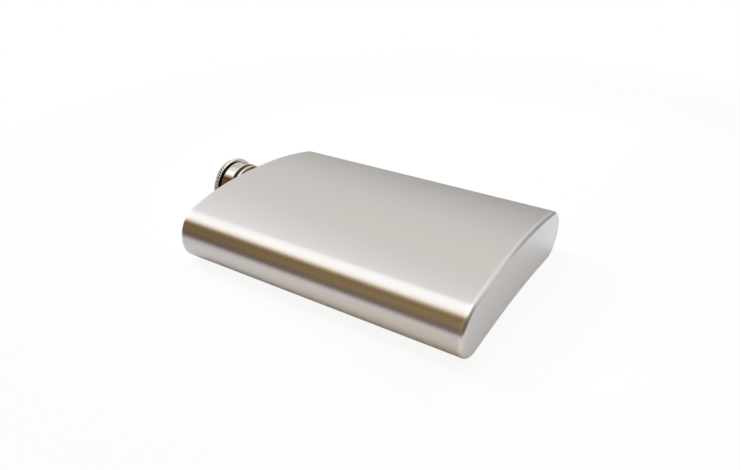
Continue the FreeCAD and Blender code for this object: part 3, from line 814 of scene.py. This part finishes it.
# What stands beyond the base, by angle about the upright: -90 is the near side, 0 straight
# beyond the base and 90 the far side. One table is its lower part, the other its upper.
END_LOW = [(-90, "#716046", 1.0), (-50, "#77654A", 1.0), (-38, "#7B6A4C", 1.0),
           (-20, "#776652", 1.0), (-5, "#947A54", 1.0), (10, "#9C8562", 1.0),
           (24, "#AB957C", 1.0), (29, "#BBA99F", 1.0), (34, "#C6B5AC", 1.0),
           (39, "#E9DCDA", 1.0), (43, "#FDF1EF", 1.0), (49, "#E9E2DF", 1.0),
           (56, "#C9BFBD", 1.0), (63, "#B3ABAB", 1.0), (72, "#A39B97", 1.0),
           (80, "#787370", 1.0), (90, "#787472", 1.0)]
END_HIGH = [(-90, "#716046", 1.0), (-42, "#8C7659", 1.0), (-26, "#C4B59A", 1.0),
            (-6, "#AA9C8A", 1.0), (29, "#ABA19A", 1.0), (51, "#FFF4F0", 1.23),
            (62, "#FFF7F3", 1.08), (90, "#FFFCF8", 1.2)]


def lay_cards(ramp, cards, first=0):
    """Set a colour ramp's stops from a table of cards on the half turn from first degrees."""
    elements = ramp.color_ramp.elements
    for angle, _, _ in cards[2:]:
        elements.new((angle - first) / 180)
    for element, (angle, colour, strength) in zip(elements, cards):
        element.position = (angle - first) / 180
        element.color = [part * strength for part in linear(colour)[:3]] + [1.0]
    return ramp.outputs[0]


def strip_share(tree, value, middle, outer, inner):
    """1 where a value is within inner of the middle of a strip, and 0 past outer."""
    off = add_node(tree, "Math", {0: value, 1: middle}, operation="SUBTRACT")
    off = add_node(tree, "Math", {0: off.outputs[0]}, operation="ABSOLUTE")
    return add_node(tree, "MapRange", {"Value": off.outputs[0], "From Min": outer,
                                       "From Max": inner}).outputs[0]


def room_sides(tree, x, y, z):
    """The room's far side, ceiling and near side, by the direction from the flask."""
    angle = add_node(tree, "Math", {0: z, 1: y}, operation="ARCTAN2")
    share = add_node(tree, "Math", {0: angle.outputs[0], 1: math.pi},
                     operation="DIVIDE").outputs[0]
    sides = lay_cards(add_node(tree, "ValToRGB", {0: share}), ROUND)
    # A narrow strip over the cap end, which the cap mirrors, has frames across its window
    frames = lay_cards(add_node(tree, "ValToRGB", {0: share}), FRAMES)
    strip = strip_share(tree, x, *CAP_STRIP)
    sides = add_node(tree, "Mix", {0: strip, 6: sides, 7: frames},
                     data_type="RGBA", blend_type="MULTIPLY").outputs[2]
    # The near wall is darker toward the cap
    near = add_node(tree, "MapRange", {"Value": share, "From Min": 0.66, "From Max": 0.74})
    shade = add_node(tree, "MapRange", {"Value": x, "From Min": -0.42, "From Max": -0.8,
                                        "To Max": 0.75})
    shade = add_node(tree, "Math", {0: near.outputs[0], 1: shade.outputs[0]},
                     operation="MULTIPLY")
    return add_node(tree, "Mix", {0: shade.outputs[0], 6: sides, 7: linear("#20160C")},
                    data_type="RGBA").outputs[2]


def room_end(tree, x, y, z):
    """What stands beyond the base, a brown wall, a pale gap and a grey card side by side,
    and how much of a direction shows it: that way, and below the ceiling."""
    heading = add_node(tree, "Math", {0: y, 1: x}, operation="ARCTAN2")
    heading = add_node(tree, "MapRange", {"Value": heading.outputs[0],
                                          "From Min": -math.pi / 2,
                                          "From Max": math.pi / 2}).outputs[0]
    lower = lay_cards(add_node(tree, "ValToRGB", {0: heading}), END_LOW, first=-90)
    upper = lay_cards(add_node(tree, "ValToRGB", {0: heading}), END_HIGH, first=-90)
    climb = add_node(tree, "MapRange", {"Value": z, "From Min": 0.42, "From Max": 0.68},
                     interpolation_type="SMOOTHSTEP")
    ending = add_node(tree, "Mix", {0: climb.outputs[0], 6: lower, 7: upper},
                      data_type="RGBA")
    aside = add_node(tree, "MapRange", {"Value": x, "From Max": 0.3},
                     interpolation_type="SMOOTHSTEP")
    beneath = add_node(tree, "MapRange", {"Value": z, "From Min": 0.93, "From Max": 0.8},
                       interpolation_type="SMOOTHSTEP")
    share = add_node(tree, "Math", {0: aside.outputs[0], 1: beneath.outputs[0]},
                     operation="MULTIPLY")
    return ending.outputs[2], share.outputs[0]


def make_dome():
    """Half round room of cards, walls and soft boxes, unseen by the camera."""
    bm = bmesh.new()
    bmesh.ops.create_uvsphere(bm, u_segments=DOME_SEGMENTS, v_segments=DOME_SEGMENTS // 2,
                              radius=DOME_RADIUS)
    lower = [vert for vert in bm.verts if vert.co.z < -MM]
    bmesh.ops.delete(bm, geom=lower, context="VERTS")
    material, tree = new_material("room_of_cards")
    place = add_node(tree, "TexCoord").outputs["Object"]
    toward = add_node(tree, "VectorMath", {0: place}, operation="NORMALIZE")
    x, y, z = add_node(tree, "SeparateXYZ", {0: toward.outputs[0]}).outputs
    sides = room_sides(tree, x, y, z)
    ending, end_share = room_end(tree, x, y, z)
    both = add_node(tree, "Mix", {0: end_share, 6: sides, 7: ending}, data_type="RGBA")
    glow = add_node(tree, "Emission", {"Color": both.outputs[2], "Strength": 1.0})
    add_node(tree, "OutputMaterial", {"Surface": glow.outputs[0]})
    dome = link_new("light_dome", keep_mesh("light_dome", bm))
    dome.data.materials.append(material)
    dome.visible_camera = False


def background_share(tree, camera, others):
    """How much of the white background a ray sees: its share for the camera's own rays, and
    for mirrored and passed ones."""
    rays = add_node(tree, "LightPath")
    mirrored = add_node(tree, "Math", {0: rays.outputs["Is Glossy Ray"],
                                       1: rays.outputs["Is Transmission Ray"]},
                        operation="ADD")
    seen = add_node(tree, "Math", {0: rays.outputs["Is Camera Ray"], 1: camera},
                    operation="MULTIPLY")
    return add_node(tree, "Math", {0: mirrored.outputs[0], 1: others, 2: seen.outputs[0]},
                    operation="MULTIPLY_ADD").outputs[0]


def paper_colour(tree, place):
    """Pale paper with painted warm bounce in a strip, and painted light and shade past the
    base.
    """
    # Fibres in tufts of 2 or 3 mm
    fibre = add_node(tree, "TexNoise", {"Vector": place, "Scale": 0.4 / MM, "Detail": 2})
    paper = add_node(tree, "Mix", {0: fibre.outputs[0], 6: linear("#F0F1F3"),
                                   7: linear("#F4F5F7")}, data_type="RGBA")
    # The painted warm bounce runs along the near side, and is warmest toward the base
    along, across, _ = add_node(tree, "SeparateXYZ", {0: place}).outputs
    painted_bounce = add_node(tree, "MapRange", {"Value": along, "From Min": -30 * MM,
                                         "From Max": 30 * MM, "To Min": 0.45})
    painted_bounce = add_node(tree, "Math", {0: painted_bounce.outputs[0],
                                     1: strip_share(tree, across, *PAINTED_BOUNCE_STRIP)},
                      operation="MULTIPLY")
    paper = add_node(tree, "Mix", {0: painted_bounce.outputs[0], 6: paper.outputs[2],
                                   7: linear("#F0E6D8")}, data_type="RGBA")
    # Beyond the base the paper is painted 10 % lighter on the near side, going to 6 % darker
    # on the far side: painted light and shade for the base plate to mirror
    ahead = add_node(tree, "MapRange", {"Value": along, "From Min": 68 * MM,
                                        "From Max": 74 * MM})
    fade = add_node(tree, "MapRange", {"Value": across, "From Min": -30 * MM,
                                       "From Max": 30 * MM, "To Min": 1.1, "To Max": 0.94})
    return add_node(tree, "Mix", {0: ahead.outputs[0], 6: paper.outputs[2],
                                  7: fade.outputs[0]},
                    data_type="RGBA", blend_type="MULTIPLY").outputs[2]


def make_floor():
    """Plain pale paper on a brown table, with the flask's soft shadow on it. Seen from below,
    it is clear."""
    bm = bmesh.new()
    bmesh.ops.create_circle(bm, cap_ends=True, segments=FLOOR_SEGMENTS, radius=FLOOR_RADIUS)
    material, tree = new_material("pale_table_paper")
    place = add_node(tree, "TexCoord").outputs["Object"]
    distance = add_node(tree, "VectorMath", {0: place, 1: PAPER_MIDDLE},
                        operation="DISTANCE").outputs["Value"]
    away = add_node(tree, "MapRange", {"Value": distance, "From Min": PAPER_REACH,
                                       "From Max": TABLE_REACH}).outputs[0]
    colour = add_node(tree, "Mix", {0: away, 6: paper_colour(tree, place),
                                    7: linear("#7A6650")}, data_type="RGBA")
    surface = add_node(tree, "BsdfDiffuse", {"Color": colour.outputs[2]})
    white = add_node(tree, "Emission", {"Color": (1, 1, 1, 1), "Strength": 1.0})
    camera = add_node(tree, "MapRange", {"Value": away, "To Min": 0.9, "To Max": 1.0})
    others = add_node(tree, "MapRange", {"Value": away, "To Min": 0.14, "To Max": 0})
    lit = add_node(tree, "MixShader", {
        0: background_share(tree, camera.outputs[0], others.outputs[0]),
        1: surface.outputs[0], 2: white.outputs[0]})
    below = add_node(tree, "BsdfTransparent")
    facing = add_node(tree, "NewGeometry").outputs["Backfacing"]
    both = add_node(tree, "MixShader", {0: facing, 1: lit.outputs[0], 2: below.outputs[0]})
    add_node(tree, "OutputMaterial", {"Surface": both.outputs[0]})
    floor = link_new("floor", keep_mesh("floor", bm))
    floor.data.materials.append(material)


def aim(item, place, direction):
    """Put a lamp or the camera in its place, facing a direction."""
    item.location = place
    item.rotation_mode = "QUATERNION"
    item.rotation_quaternion = direction.to_track_quat("-Z", "Y")


def make_window():
    """A window beyond the cap: cool light that leaves a soft shadow in front of the base."""
    data = bpy.data.lights.new("window", "AREA")
    data.size = WINDOW_SIDE
    data.color = linear("#D6E4FF")[:3]
    data.energy = WINDOW_POWER
    window = link_new("window", data)
    aim(window, WINDOW_PLACE, -WINDOW_PLACE)
    window.visible_glossy = False


def make_world():
    """White all round, at the level of a white card."""
    world = bpy.data.worlds.new("white_room")
    bpy.context.scene.world = world
    world.use_nodes = True
    tree = world.node_tree
    tree.nodes.clear()
    light = add_node(tree, "Background", {"Color": linear("#EFEDEA"), "Strength": 1.0})
    white = add_node(tree, "Background", {"Color": (1, 1, 1, 1), "Strength": 1.0})
    both = add_node(tree, "MixShader", {0: background_share(tree, 1.0, 1.0),
                                        1: light.outputs[0], 2: white.outputs[0]})
    add_node(tree, "OutputWorld", {"Surface": both.outputs[0]})


def make_camera():
    """The camera, a little over the base plate's near corner."""
    data = bpy.data.cameras.new("camera")
    data.sensor_width = CAMERA_SENSOR
    data.lens = CAMERA_LENS
    data.clip_start = CAMERA_NEAR
    data.clip_end = CAMERA_FAR
    camera = link_new("camera", data)
    level = math.cos(CAMERA_ELEVATION)
    back = Vector((math.sin(CAMERA_AZIMUTH) * level, -math.cos(CAMERA_AZIMUTH) * level,
                   math.sin(CAMERA_ELEVATION)))
    aim(camera, CAMERA_AIM + back * CAMERA_DISTANCE, -back)
    bpy.context.scene.camera = camera


make_dome()
make_floor()
make_window()
make_world()
make_camera()
bpy.context.scene.view_settings.view_transform = "Standard"
